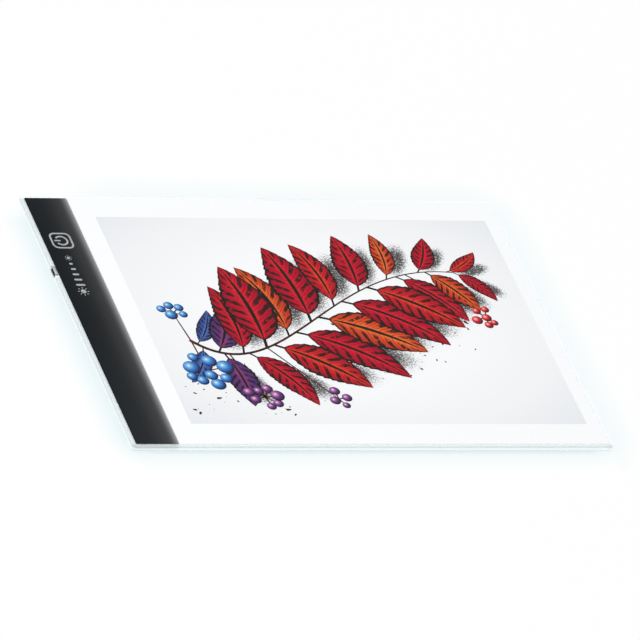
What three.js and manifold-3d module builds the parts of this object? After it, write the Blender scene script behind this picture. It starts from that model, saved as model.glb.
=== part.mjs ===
// LED tracing pad: an edge-lit acrylic plate under a matt writing surface, with a black
// touch strip along its left side, electronics in a bay under the strip, and a loose sheet on top.
// Units are millimetres. +X runs along the long side, away from the strip, and +Z is up.
// The rubber feet stand on z = 0 and the pad is centred on the Z axis.

import * as THREE from 'three';
import { mergeVertices } from 'three/addons/utils/BufferGeometryUtils.js';
import Module from 'manifold-3d';

const wasm = await Module();
wasm.setup();

// Light guide plate, which sets the pad's outline
const padLength = 360;
const padWidth = 255;
const padCorner = 3;
const plateThickness = 3;
const plateChamfer = 0.3;
const rim = 3;

// Layers glued to the plate
const coverThickness = 0.8;
const coverInset = 0.4;
const coverChamfer = 0.2;
const tapeThickness = 0.2;
const backTapeInset = 0.6;
const backTapeWidth = 4.4;
const panelTapeWidth = 2.5;
const filmClearance = 0.3;
const surfaceThickness = 0.4;
const surfaceChamfer = 0.12;
const surfaceCorner = 1;
const stripWidth = 31.6;
const stripPanelGap = 0.2;

// Rubber feet
const footHeight = 1;
const footRadius = 6;
const footTaper = 0.25;
const footSetback = 18;

// Electronics bay cut through the plate under the strip
const bayLeftWall = 6.2;
const bayWidth = 20.8;
const bayEndWall = 8;
const bayCorner = 1.5;

// LED bar that stands on edge against the bay's right wall
const ledPitch = 9.2;
const ledLength = 3;
const ledHeight = 1.4;
const ledDepth = 0.8;
const ledFrame = 0.25;
const ledRecess = 0.1;
const ledBarThickness = 1;
const ledBarEnd = 3;
const ledBarEndGap = 9;
const pocketClearance = 0.3;
const pocketTipClearance = 0.1;
const pocketCorner = 0.3;
const barHeadroom = 0.2;

// Micro-USB socket and the notch in the plate that opens it to the left side
const portSetback = 77.5;
const notchWidth = 9.8;
const notchFlare = 0.5;
const socketRecess = 0.8;
const socketWidth = 7.5;
const socketHeight = 2.5;
const socketLength = 5.4;
const socketWall = 0.28;
const socketChamfer = 1.1;
const socketLip = 0.25;
const solderTabLength = 1.2;
const solderTabReach = 0.5;
const tongueWidth = 3.7;
const tongueThickness = 0.6;
const tongueDrop = 0.35;
const tongueRecess = 0.9;
const insulatorLength = 1.1;
const contactCount = 5;
const contactPitch = 0.65;
const contactWidth = 0.35;
const contactThickness = 0.12;
const contactTip = 0.3;

// Control board, with a tab that runs out under the socket
const boardThickness = 0.6;
const boardWidth = 14.6;
const boardLength = 56;
const boardClearance = 0.4;
const boardCorner = 0.6;
const boardBelowPort = 12;

// Touch key: a conductive foam post under the printed power mark
const keySetback = 47.2;
const keyFromStrip = 13.4;
const keyFoamRadius = 5;

// Parts soldered to the control board
const chipBodyLength = 4.9;
const chipBodyWidth = 3.9;
const chipBodyHeight = 1.4;
const chipLegCount = 4;
const chipLegPitch = 1.27;
const driverBodyLength = 2.9;
const driverBodyWidth = 1.3;
const driverBodyHeight = 1;
const driverLegPitch = 0.95;
const legWidth = 0.4;
const legReach = 0.9;
const legThickness = 0.2;
const legShoulder = 0.5;
const resistorLength = 1.6;
const resistorWidth = 0.8;
const resistorHeight = 0.45;
const resistorPitch = 1.8;
const resistorCount = 3;
const capacitorLength = 2;
const capacitorWidth = 1.25;
const capacitorHeight = 0.9;
const capacitorPitch = 2.6;
const capacitorCount = 2;
const componentGap = 2;

// Leads from the control board to the LED bar
const leadRadius = 0.4;
const leadPitch = 2.4;
const leadEndInset = 1.2;
const leadLanding = 1.8;

// Foam block that carries the strip over the empty part of the bay
const supportWidth = 13;
const supportEndGap = 5;
const supportCorner = 0.5;

// Loose sheet on the writing surface
const sheetLength = 297;
const sheetWidth = 210;
const sheetThickness = 0.15;
const sheetFromStrip = 15.3;
const sheetShift = 0.2;

// Cuts run past what they cut by this much
const overrun = 1;

// Facets of round corners, round posts and bent wires
const cornerSegments = 6;
const pocketSegments = 2;
const roundSegments = 40;
const wireSides = 10;
const wireSteps = 14;

// Heights, from the floor up
const coverBottom = footHeight;
const bayFloor = coverBottom + coverThickness;
const plateBottom = bayFloor + tapeThickness;
const plateTop = plateBottom + plateThickness;
const surfaceBottom = plateTop + tapeThickness;
const surfaceTop = surfaceBottom + surfaceThickness;

// Places in plan
const padHalfLength = padLength / 2;
const padHalfWidth = padWidth / 2;
const surfaceRight = padHalfLength - rim;
const surfaceHalfWidth = padHalfWidth - rim;
const stripLeft = rim - padHalfLength;
const stripRight = stripLeft + stripWidth;
const panelLeft = stripRight + stripPanelGap;
const bayLeft = bayLeftWall - padHalfLength;
const bayRight = bayLeft + bayWidth;
const bayHalfWidth = padHalfWidth - bayEndWall;
const pocketDepth = ledDepth + pocketTipClearance;
const ledBarRoom = 2 * (bayHalfWidth - ledBarEndGap);
const ledCount = 1 + Math.floor((ledBarRoom - 2 * ledBarEnd - ledLength) / ledPitch);
const ledBarLength = (ledCount - 1) * ledPitch + ledLength + 2 * ledBarEnd;
const ledBarRear = bayHalfWidth - ledBarEndGap;
const ledBarHeight = plateTop - barHeadroom - bayFloor;
const portY = padHalfWidth - portSetback;
const socketMouth = socketRecess - padHalfLength;
const keyY = padHalfWidth - keySetback;
const keyX = stripLeft + keyFromStrip;
const boardLeft = bayLeft + boardClearance;
const boardRight = boardLeft + boardWidth;
const boardStart = portY - boardBelowPort;
const boardEnd = boardStart + boardLength;
const boardTop = bayFloor + boardThickness;

// Each finish has a colour, a roughness and a metalness.
const finishes = {
  clearAcrylic: new THREE.MeshStandardMaterial({ color: 0xdcf0f3, roughness: 0.08, metalness: 0 }),
  opalMatt: new THREE.MeshStandardMaterial({ color: 0xfafcfc, roughness: 0.55, metalness: 0 }),
  whiteMatt: new THREE.MeshStandardMaterial({ color: 0xeef0f0, roughness: 0.6, metalness: 0 }),
  whiteFilm: new THREE.MeshStandardMaterial({ color: 0xf6f7f7, roughness: 0.25, metalness: 0 }),
  blackGloss: new THREE.MeshStandardMaterial({ color: 0x232729, roughness: 0.18, metalness: 0 }),
  tape: new THREE.MeshStandardMaterial({ color: 0xdfe3e2, roughness: 0.45, metalness: 0 }),
  board: new THREE.MeshStandardMaterial({ color: 0x1f6b3d, roughness: 0.4, metalness: 0 }),
  whiteBoard: new THREE.MeshStandardMaterial({ color: 0xe8ebe8, roughness: 0.4, metalness: 0 }),
  ledBody: new THREE.MeshStandardMaterial({ color: 0xf2f2ec, roughness: 0.35, metalness: 0 }),
  chipBlack: new THREE.MeshStandardMaterial({ color: 0x1b1c1e, roughness: 0.5, metalness: 0 }),
  ceramicTan: new THREE.MeshStandardMaterial({ color: 0xb08a5c, roughness: 0.45, metalness: 0 }),
  steel: new THREE.MeshStandardMaterial({ color: 0xb9bdbf, roughness: 0.3, metalness: 1 }),
  gold: new THREE.MeshStandardMaterial({ color: 0xd9b45a, roughness: 0.3, metalness: 1 }),
  foamGrey: new THREE.MeshStandardMaterial({ color: 0x55585a, roughness: 0.9, metalness: 0 }),
  redWire: new THREE.MeshStandardMaterial({ color: 0xb3241f, roughness: 0.5, metalness: 0 }),
  blackWire: new THREE.MeshStandardMaterial({ color: 0x202122, roughness: 0.5, metalness: 0 }),
  rubber: new THREE.MeshStandardMaterial({ color: 0xc9cdcc, roughness: 0.85, metalness: 0 }),
  paper: new THREE.MeshStandardMaterial({ color: 0xf3f4f5, roughness: 0.8, metalness: 0 }),
};

// Turns a three.js geometry into a manifold solid.
function solidOf(geometry) {
  const bare = geometry.clone();
  bare.deleteAttribute('normal');
  bare.deleteAttribute('uv');
  const welded = mergeVertices(bare);
  return new wasm.Manifold(new wasm.Mesh({
    numProp: 3,
    vertProperties: new Float32Array(welded.attributes.position.array),
    triVerts: new Uint32Array(welded.index.array),
  }));
}

// Turns a manifold solid back into a three.js geometry.
function geometryOf(solid) {
  const mesh = solid.getMesh();
  const geometry = new THREE.BufferGeometry();
  geometry.setAttribute('position', new THREE.BufferAttribute(mesh.vertProperties, 3));
  geometry.setIndex(new THREE.BufferAttribute(mesh.triVerts, 1));
  geometry.computeVertexNormals();
  return geometry;
}

function unite(geometries) {
  return geometryOf(geometries.map(solidOf).reduce((whole, next) => whole.add(next)));
}

function addNode(parent, name, geometry, finish, x = 0, y = 0, z = 0) {
  const mesh = new THREE.Mesh(geometry, finishes[finish].clone());
  mesh.name = name;
  mesh.position.set(x, y, z);
  parent.add(mesh);
}

function roundedRectangle(left, right, bottom, top, radius) {
  const outline = new THREE.Shape();
  outline.moveTo(left + radius, bottom);
  outline.lineTo(right - radius, bottom);
  outline.absarc(right - radius, bottom + radius, radius, -Math.PI / 2, 0);
  outline.lineTo(right, top - radius);
  outline.absarc(right - radius, top - radius, radius, 0, Math.PI / 2);
  outline.lineTo(left + radius, top);
  outline.absarc(left + radius, top - radius, radius, Math.PI / 2, Math.PI);
  outline.lineTo(left, bottom + radius);
  outline.absarc(left + radius, bottom + radius, radius, Math.PI, 1.5 * Math.PI);
  return outline;
}

// A flat piece with its underside on z = 0, with an optional chamfer on its edges.
function slab(outline, thickness, chamfer = 0, curveSegments = cornerSegments) {
  const geometry = new THREE.ExtrudeGeometry(outline, {
    depth: thickness - 2 * chamfer,
    bevelEnabled: chamfer > 0,
    bevelThickness: chamfer,
    bevelSize: chamfer,
    bevelOffset: -chamfer,
    bevelSegments: 1,
    curveSegments,
  });
  return geometry.translate(0, 0, chamfer);
}

// A block centred in plan, with its underside on z = 0.
function block(length, width, height) {
  return new THREE.BoxGeometry(length, width, height).translate(0, 0, height / 2);
}

// Lays an extrusion down, so that its outline stands in the YZ plane and it runs along +X.
function alongX(geometry) {
  return geometry.rotateX(Math.PI / 2).rotateZ(Math.PI / 2);
}

function padOutline(inset) {
  return roundedRectangle(
    inset - padHalfLength, padHalfLength - inset,
    inset - padHalfWidth, padHalfWidth - inset,
    padCorner - inset,
  );
}

function panelOutline(inset) {
  return roundedRectangle(
    panelLeft + inset, surfaceRight - inset,
    inset - surfaceHalfWidth, surfaceHalfWidth - inset,
    surfaceCorner,
  );
}

function stripOutline() {
  return roundedRectangle(stripLeft, stripRight, -surfaceHalfWidth, surfaceHalfWidth, surfaceCorner);
}

// Places of a row of equal pieces, centred on zero.
function rowPlaces(count, pitch) {
  return Array.from({ length: count }, (unused, index) => (index - (count - 1) / 2) * pitch);
}

// The LEDs in order from the front. The row is measured from the rear end, where its leads are.
function ledPlaces() {
  const middle = ledBarRear - ledBarLength / 2;
  return rowPlaces(ledCount, ledPitch).map((place) => middle + place);
}

// One pocket of the bay's right wall, drawn upward along the wall, round in its two corners.
function drawPocket(outline, y) {
  const low = y - ledLength / 2 - pocketClearance;
  const high = y + ledLength / 2 + pocketClearance;
  const floor = bayRight + pocketDepth;
  outline.lineTo(bayRight, low);
  outline.lineTo(floor - pocketCorner, low);
  outline.absarc(floor - pocketCorner, low + pocketCorner, pocketCorner, -Math.PI / 2, 0);
  outline.lineTo(floor, high - pocketCorner);
  outline.absarc(floor - pocketCorner, high - pocketCorner, pocketCorner, 0, Math.PI / 2);
  outline.lineTo(bayRight, high);
}

// The bay's plan: a milled slot with one pocket for each LED in its right wall.
function bayOutline() {
  const outline = new THREE.Shape();
  outline.moveTo(bayLeft + bayCorner, -bayHalfWidth);
  outline.lineTo(bayRight - bayCorner, -bayHalfWidth);
  outline.absarc(bayRight - bayCorner, bayCorner - bayHalfWidth, bayCorner, -Math.PI / 2, 0);
  for (const y of ledPlaces()) {
    drawPocket(outline, y);
  }
  outline.absarc(bayRight - bayCorner, bayHalfWidth - bayCorner, bayCorner, 0, Math.PI / 2);
  outline.absarc(bayLeft + bayCorner, bayHalfWidth - bayCorner, bayCorner, Math.PI / 2, Math.PI);
  outline.absarc(bayLeft + bayCorner, bayCorner - bayHalfWidth, bayCorner, Math.PI, 1.5 * Math.PI);
  return outline;
}

// The port's notch in plan: a slot from the bay to the left side, flared where it comes out.
function notchOutline() {
  const half = notchWidth / 2;
  const outline = new THREE.Shape();
  outline.moveTo(bayLeft + overrun, portY - half);
  outline.lineTo(bayLeft + overrun, portY + half);
  outline.lineTo(notchFlare - padHalfLength, portY + half);
  outline.lineTo(-padHalfLength, portY + half + notchFlare);
  outline.lineTo(-padHalfLength - overrun, portY + half + notchFlare);
  outline.lineTo(-padHalfLength - overrun, portY - half - notchFlare);
  outline.lineTo(-padHalfLength, portY - half - notchFlare);
  outline.lineTo(notchFlare - padHalfLength, portY - half);
  return outline;
}

function cutThrough(outline, thickness, curveSegments) {
  return solidOf(slab(outline, thickness + 2 * overrun, 0, curveSegments)).translate(0, 0, -overrun);
}

// The clear plate: one polished outline, the LED-pocketed bay and the port's notch.
function lightGuidePlate() {
  const blank = solidOf(slab(padOutline(0), plateThickness, plateChamfer));
  const bay = cutThrough(bayOutline(), plateThickness, pocketSegments);
  const notch = cutThrough(notchOutline(), plateThickness, pocketSegments);
  return geometryOf(blank.subtract(bay).subtract(notch));
}

function backTape() {
  const outline = padOutline(backTapeInset);
  outline.holes.push(roundedRectangle(
    backTapeInset + backTapeWidth - padHalfLength, padHalfLength - backTapeInset - backTapeWidth,
    backTapeInset + backTapeWidth - padHalfWidth, padHalfWidth - backTapeInset - backTapeWidth,
    surfaceCorner,
  ));
  const ring = solidOf(slab(outline, tapeThickness));
  return geometryOf(ring.subtract(cutThrough(notchOutline(), tapeThickness, pocketSegments)));
}

function reflectorFilm() {
  const inset = backTapeInset + backTapeWidth + filmClearance;
  const outline = roundedRectangle(
    bayRight + pocketDepth + filmClearance, padHalfLength - inset,
    inset - padHalfWidth, padHalfWidth - inset,
    surfaceCorner,
  );
  return slab(outline, tapeThickness);
}

function panelTape() {
  const outline = panelOutline(0);
  outline.holes.push(panelOutline(panelTapeWidth));
  return slab(outline, tapeThickness);
}

function stripTape() {
  const outline = stripOutline();
  outline.holes.push(roundedRectangle(bayLeft, bayRight, -bayHalfWidth, bayHalfWidth, bayCorner));
  return slab(outline, tapeThickness);
}

// A foot, turned about its own axis: a flat disc whose side draws in toward the floor.
function foot() {
  const profile = [
    new THREE.Vector2(0, 0),
    new THREE.Vector2(footRadius - footTaper, 0),
    new THREE.Vector2(footRadius, footTaper),
    new THREE.Vector2(footRadius, footHeight),
    new THREE.Vector2(0, footHeight),
  ];
  return new THREE.LatheGeometry(profile, roundSegments).rotateX(Math.PI / 2);
}

function addFeet(pad) {
  const x = padHalfLength - footSetback;
  const y = padHalfWidth - footSetback;
  const feet = [
    ['foot_front_left', -x, -y],
    ['foot_front_right', x, -y],
    ['foot_rear_left', -x, y],
    ['foot_rear_right', x, y],
  ];
  const shape = solidOf(foot());
  for (const [name, footX, footY] of feet) {
    addNode(pad, name, geometryOf(shape), 'rubber', footX, footY, 0);
  }
}

// An LED: a white body around a shallow window of phosphor. Its back is on x = 0 and it faces +X.
function led() {
  const body = new THREE.BoxGeometry(ledDepth, ledLength, ledHeight).translate(ledDepth / 2, 0, 0);
  const window = new THREE.BoxGeometry(2 * ledRecess, ledLength - 2 * ledFrame, ledHeight - 2 * ledFrame);
  return geometryOf(solidOf(body).subtract(solidOf(window.translate(ledDepth, 0, 0))));
}

function addLedBar(pad) {
  const bar = new THREE.Group();
  bar.position.set(bayRight, 0, bayFloor);
  pad.add(bar);
  const board = block(ledBarThickness, ledBarLength, ledBarHeight);
  addNode(bar, 'led_bar_board', board, 'whiteBoard', -ledBarThickness / 2, ledBarRear - ledBarLength / 2);
  const lightAxis = plateBottom + plateThickness / 2 - bayFloor;
  ledPlaces().forEach((y, index) => {
    const number = String(index + 1).padStart(2, '0');
    addNode(bar, `led_${number}`, led(), 'ledBody', 0, y, lightAxis);
  });
}

// The board: a long rectangle in the bay with a tab that runs out through the notch.
function controlBoard() {
  const half = notchWidth / 2 - boardClearance;
  const tabEnd = socketMouth + socketLip;
  const body = roundedRectangle(boardLeft, boardRight, boardStart, boardEnd, boardCorner);
  const tab = new THREE.Shape();
  tab.moveTo(tabEnd, portY - half);
  tab.lineTo(boardLeft + overrun, portY - half);
  tab.lineTo(boardLeft + overrun, portY + half);
  tab.lineTo(tabEnd, portY + half);
  return unite([slab(body, boardThickness), slab(tab, boardThickness)]);
}

// A body with legs along its two long sides, standing on z = 0.
function leggedPart(length, width, height, legsBelow, legsAbove) {
  const legs = [...legsBelow.map((x) => [x, -1]), ...legsAbove.map((x) => [x, 1])];
  const body = block(length, width, height - legThickness).translate(0, 0, legThickness);
  const pieces = legs.flatMap(([x, side]) => {
    const sole = block(legWidth, legReach, legThickness);
    const riser = block(legWidth, legShoulder, height / 2);
    const edge = side * width / 2;
    return [
      sole.translate(x, edge + side * (legReach / 2), 0),
      riser.translate(x, edge, 0),
    ];
  });
  return unite([body, ...pieces]);
}

function touchChip() {
  const legs = rowPlaces(chipLegCount, chipLegPitch);
  return leggedPart(chipBodyLength, chipBodyWidth, chipBodyHeight, legs, legs);
}

function driverTransistor() {
  const below = [-driverLegPitch, driverLegPitch];
  return leggedPart(driverBodyLength, driverBodyWidth, driverBodyHeight, below, [0]);
}

function addRow(parent, name, shape, count, pitch, finish, x, y) {
  rowPlaces(count, pitch).forEach((place, index) => {
    addNode(parent, `${name}_${index + 1}`, shape.clone(), finish, x, y + place);
  });
}

function addBoardParts(pad) {
  const parts = new THREE.Group();
  parts.position.set((boardLeft + boardRight) / 2, portY, boardTop);
  pad.add(parts);
  const chipY = notchWidth + chipBodyWidth / 2;
  const driverY = chipY + chipBodyWidth / 2 + componentGap + driverBodyWidth;
  addNode(parts, 'touch_chip', touchChip(), 'chipBlack', 0, chipY);
  addNode(parts, 'driver_transistor', driverTransistor(), 'chipBlack', 0, driverY);
  const resistor = block(resistorLength, resistorWidth, resistorHeight);
  const resistorX = boardWidth / 2 - componentGap - resistorLength / 2;
  addRow(parts, 'resistor', resistor, resistorCount, resistorPitch, 'chipBlack', resistorX, chipY);
  const capacitor = block(capacitorLength, capacitorWidth, capacitorHeight);
  addRow(parts, 'capacitor', capacitor, capacitorCount, capacitorPitch, 'ceramicTan', -resistorX, chipY);
}

function addTouchKey(pad) {
  const height = surfaceBottom - boardTop;
  const post = new THREE.CylinderGeometry(keyFoamRadius, keyFoamRadius, height, roundSegments);
  post.rotateX(Math.PI / 2).translate(0, 0, height / 2);
  addNode(pad, 'touch_foam', geometryOf(solidOf(post)), 'foamGrey', keyX, keyY, boardTop);
}

// The socket's outline: flat on top, with its two lower corners cut off at 45 degrees.
function socketOutline(width, bottom, top, chamfer) {
  const outline = new THREE.Shape();
  outline.moveTo(chamfer - width / 2, bottom);
  outline.lineTo(width / 2 - chamfer, bottom);
  outline.lineTo(width / 2, bottom + chamfer);
  outline.lineTo(width / 2, top);
  outline.lineTo(-width / 2, top);
  outline.lineTo(-width / 2, bottom + chamfer);
  return outline;
}

// The same outline one wall further in, with the wall equally thick at the cut corners.
function socketBore() {
  const chamfer = socketChamfer - (2 - Math.SQRT2) * socketWall;
  const width = socketWidth - 2 * socketWall;
  return socketOutline(width, socketWall, socketHeight - socketWall, chamfer);
}

// The folded steel shell: a closed sleeve with a rolled lip at its mouth and two solder tabs.
function socketShell() {
  const sleeve = alongX(slab(socketOutline(socketWidth, 0, socketHeight, socketChamfer), socketLength));
  const lipOutline = socketOutline(socketWidth + 2 * socketLip, 0, socketHeight, socketChamfer);
  const lip = alongX(slab(lipOutline, socketLip));
  const tabs = [-1, 1].map((side) => {
    const tab = block(solderTabLength, socketWidth / 2 + solderTabReach, socketWall);
    const middle = side * (socketWidth / 2 + solderTabReach) / 2;
    return tab.translate(socketLength / 2, middle, 0);
  });
  const outside = solidOf(unite([sleeve, lip, ...tabs]));
  const bore = alongX(slab(socketBore(), socketLength + overrun)).translate(-overrun, 0, 0);
  const bored = outside.subtract(solidOf(bore));
  const back = alongX(slab(socketBore(), socketWall)).translate(socketLength - socketWall, 0, 0);
  return geometryOf(bored.add(solidOf(back)));
}

// The insulator: a block that fills the back of the shell, with the tongue in front of it.
function socketTongue() {
  const backFace = socketLength - socketWall;
  const root = alongX(slab(socketBore(), insulatorLength)).translate(backFace - insulatorLength, 0, 0);
  const length = backFace - tongueRecess;
  const tongue = block(length, tongueWidth, tongueThickness);
  return unite([root, tongue.translate(tongueRecess + length / 2, 0, tongueBottom())]);
}

function tongueBottom() {
  return socketHeight - socketWall - tongueDrop - tongueThickness;
}

// The contact strips under the tongue, joined at the back by the bar they were stamped with.
function socketContacts() {
  const front = tongueRecess + contactTip;
  const length = socketLength - socketWall - insulatorLength - front;
  const strips = rowPlaces(contactCount, contactPitch).map((y) => {
    return block(length, contactWidth, contactThickness).translate(front + length / 2, y, 0);
  });
  const bar = block(contactWidth, contactCount * contactPitch, contactThickness);
  return unite([...strips, bar.translate(front + length - contactWidth / 2, 0, 0)]);
}

function addSocket(pad) {
  const socket = new THREE.Group();
  socket.position.set(socketMouth, portY, boardTop);
  pad.add(socket);
  addNode(socket, 'usb_shell', socketShell(), 'steel');
  addNode(socket, 'usb_tongue', socketTongue(), 'chipBlack');
  addNode(socket, 'usb_contacts', socketContacts(), 'gold', 0, 0, tongueBottom() - contactThickness);
}

// A lead that stands up from the board, bends over and meets the back of the LED bar.
function lead() {
  const startX = boardRight - leadEndInset - (bayRight - ledBarThickness);
  const rise = bayFloor + ledBarHeight / 2 + leadLanding / 2 - boardTop;
  const route = new THREE.CubicBezierCurve3(
    new THREE.Vector3(startX, 0, 0),
    new THREE.Vector3(startX, 0, rise),
    new THREE.Vector3(startX / 2, 0, rise),
    new THREE.Vector3(0, 0, rise),
  );
  const section = new THREE.Shape();
  section.absarc(0, 0, leadRadius, 0, 2 * Math.PI);
  return new THREE.ExtrudeGeometry(section, {
    steps: wireSteps,
    curveSegments: wireSides,
    extrudePath: route,
  });
}

function addLeads(pad) {
  const leads = new THREE.Group();
  leads.position.set(bayRight - ledBarThickness, portY, boardTop);
  pad.add(leads);
  addNode(leads, 'led_lead_positive', lead(), 'redWire', 0, leadPitch / 2);
  addNode(leads, 'led_lead_negative', lead(), 'blackWire', 0, -leadPitch / 2);
}

function addSupport(pad) {
  const height = surfaceBottom - bayFloor;
  const length = boardStart - componentGap - supportEndGap + bayHalfWidth;
  const outline = roundedRectangle(
    -supportWidth / 2, supportWidth / 2, -length / 2, length / 2, supportCorner,
  );
  const x = (bayLeft + bayRight - ledBarThickness) / 2;
  const y = supportEndGap - bayHalfWidth + length / 2;
  addNode(pad, 'strip_support_foam', slab(outline, height), 'foamGrey', x, y, bayFloor);
}

function addLayers(pad) {
  const cover = slab(padOutline(coverInset), coverThickness, coverChamfer);
  addNode(pad, 'back_cover', cover, 'whiteMatt', 0, 0, coverBottom);
  addNode(pad, 'back_tape', backTape(), 'tape', 0, 0, bayFloor);
  addNode(pad, 'reflector_film', reflectorFilm(), 'whiteFilm', 0, 0, bayFloor);
  addNode(pad, 'light_guide_plate', lightGuidePlate(), 'clearAcrylic', 0, 0, plateBottom);
  const film = slab(panelOutline(panelTapeWidth + filmClearance), tapeThickness);
  addNode(pad, 'diffuser_film', film, 'whiteFilm', 0, 0, plateTop);
  addNode(pad, 'panel_tape', panelTape(), 'tape', 0, 0, plateTop);
  addNode(pad, 'strip_tape', stripTape(), 'tape', 0, 0, plateTop);
  const panel = slab(panelOutline(0), surfaceThickness, surfaceChamfer);
  addNode(pad, 'top_panel', panel, 'opalMatt', 0, 0, surfaceBottom);
  const strip = slab(stripOutline(), surfaceThickness, surfaceChamfer);
  addNode(pad, 'control_strip', strip, 'blackGloss', 0, 0, surfaceBottom);
}

function addSheet(whole) {
  const sheet = block(sheetLength, sheetWidth, sheetThickness);
  const x = stripRight + sheetFromStrip + sheetLength / 2;
  addNode(whole, 'drawing_sheet', sheet, 'paper', x, sheetShift, surfaceTop);
}

function tracingPad() {
  const whole = new THREE.Group();
  whole.name = 'led_tracing_pad';
  const pad = new THREE.Group();
  whole.add(pad);
  addFeet(pad);
  addLayers(pad);
  addLedBar(pad);
  addNode(pad, 'control_board', controlBoard(), 'board', 0, 0, bayFloor);
  addBoardParts(pad);
  addTouchKey(pad);
  addSocket(pad);
  addLeads(pad);
  addSupport(pad);
  addSheet(whole);
  return whole;
}

const group = tracingPad();
export default group;
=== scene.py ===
# %% [markdown]
# # An LED tracing pad
# A tracing pad is a sandwich of thin flat layers: a clear acrylic plate that carries light from
# a row of LEDs, white films under and over it, a matt writing surface and a black strip with a
# touch key. The solids of all of these come packed, at their real size. What is left to make is
# the finish of each layer, the marks printed on the strip, and the drawing on the loose sheet.
# Everything is in metres, in the same frame as the solids.

import math
import random

import bpy
from mathutils import Matrix, Vector


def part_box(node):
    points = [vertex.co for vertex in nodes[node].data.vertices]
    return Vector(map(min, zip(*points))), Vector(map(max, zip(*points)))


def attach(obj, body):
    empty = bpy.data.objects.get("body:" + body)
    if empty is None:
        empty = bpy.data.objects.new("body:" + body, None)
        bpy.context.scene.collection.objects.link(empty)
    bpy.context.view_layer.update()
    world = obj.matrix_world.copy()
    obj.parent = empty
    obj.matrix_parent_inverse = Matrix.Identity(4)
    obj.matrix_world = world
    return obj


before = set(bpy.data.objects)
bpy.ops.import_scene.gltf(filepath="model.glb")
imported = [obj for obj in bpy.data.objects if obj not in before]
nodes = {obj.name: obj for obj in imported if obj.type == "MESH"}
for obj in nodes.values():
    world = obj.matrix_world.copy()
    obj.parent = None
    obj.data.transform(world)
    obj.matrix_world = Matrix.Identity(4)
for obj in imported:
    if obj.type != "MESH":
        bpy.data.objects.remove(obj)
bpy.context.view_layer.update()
MM = 0.001


def millimetres(lengths, digits=1):
    return [round(length / MM, digits) for length in lengths]


# %% [markdown]
# ## Camera
# The photograph was taken, or drawn, with a very long lens from the front left, with the camera
# rolled to one side: the pad's sides stay almost parallel and its far edge lies level. A wide
# lens close by could frame the pad too, but then it would narrow toward the back. So the camera
# stands nearly seven metres off with a lens to match.

# %% Camera
VIEW_TARGET = Vector((3.2148, 1.1856, 5.0)) * MM
VIEW_DISTANCE = 6.7326
VIEW_AZIMUTH = math.radians(-32.6742)
VIEW_ELEVATION = math.radians(36.7229)
VIEW_ROLL = math.radians(21.3023)
LENS_MM = 556.104
SENSOR_MM = 36.0
NEAREST_SEEN = 0.1
FARTHEST_SEEN = 100.0


def looking_back(away):
    """The turn of a camera or lamp that lies in this direction and faces the pad."""
    return away.to_track_quat("Z", "Y").to_matrix().to_4x4()


def add_to_scene(name, data, matrix):
    made = bpy.data.objects.new(name, data)
    bpy.context.scene.collection.objects.link(made)
    made.matrix_world = matrix
    return made


def add_camera():
    """A camera that looks at the pad's centre, rolled about its own axis."""
    away = Vector((
        math.sin(VIEW_AZIMUTH) * math.cos(VIEW_ELEVATION),
        -math.cos(VIEW_AZIMUTH) * math.cos(VIEW_ELEVATION),
        math.sin(VIEW_ELEVATION),
    ))
    data = bpy.data.cameras.new("camera")
    data.lens = LENS_MM
    data.sensor_width = SENSOR_MM
    data.clip_start = NEAREST_SEEN
    data.clip_end = FARTHEST_SEEN
    place = Matrix.Translation(VIEW_TARGET + away * VIEW_DISTANCE)
    roll = Matrix.Rotation(VIEW_ROLL, 4, "Z")
    return add_to_scene("camera", data, place @ looking_back(away) @ roll)


camera = add_camera()
bpy.context.scene.camera = camera
print("camera at", [round(v, 3) for v in camera.matrix_world.translation])

# %% [markdown]
# ## Node helpers
# The light of the world and every finish below are small graphs of nodes. Typing each node out
# by hand hides the idea of a finish in plumbing, so a few helpers do the plumbing. An amount is
# the output of a node, a number at each point of a surface, and it can be added and multiplied
# as plain numbers are. A graph adds nodes, and a finish is the graph of one Principled shader,
# with the patterns that feed it. Colours are written as on a screen, and made linear where they
# enter a node.

# %% Colours
WHITE = (255, 255, 255)


def shader_color(screen_color):
    """Red, green and blue from 0 to 255, as the linear colour that a shader takes."""
    def linear(value):
        share = value / 255
        return share / 12.92 if share <= 0.04045 else ((share + 0.055) / 1.055) ** 2.4
    return (*(linear(value) for value in screen_color), 1)


print("a mid grey in a shader:", [round(value, 3) for value in shader_color((128, 128, 128))])

# %% Amounts


class Amount:
    """A number at each point of a surface."""

    def __init__(self, graph, socket):
        self.graph = graph
        self.socket = socket

    def __add__(self, other):
        return self.graph.math("ADD", self, other)

    def __sub__(self, other):
        return self.graph.math("SUBTRACT", self, other)

    def __rsub__(self, other):
        return self.graph.math("SUBTRACT", other, self)

    def __mul__(self, other):
        return self.graph.math("MULTIPLY", self, other)

    def __truediv__(self, other):
        return self.graph.math("DIVIDE", self, other)

    def __pow__(self, other):
        return self.graph.math("POWER", self, other)

    def __abs__(self):
        return self.graph.math("ABSOLUTE", self)

    __radd__ = __add__
    __rmul__ = __mul__

    def between(self, low, high, smooth=True):
        """0 at low and 1 at high, with a soft step between them, or a straight one."""
        kind = {"interpolation_type": "SMOOTHSTEP" if smooth else "LINEAR"}
        made = self.graph.node("MapRange", kind, Value=self, From_Min=low, From_Max=high)
        return Amount(self.graph, made.outputs[0])


def larger(one, other):
    return one.graph.math("MAXIMUM", one, other)


def smaller(one, other):
    return one.graph.math("MINIMUM", one, other)


print("amounts can be added, multiplied and compared")

# %% A graph of nodes


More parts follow.
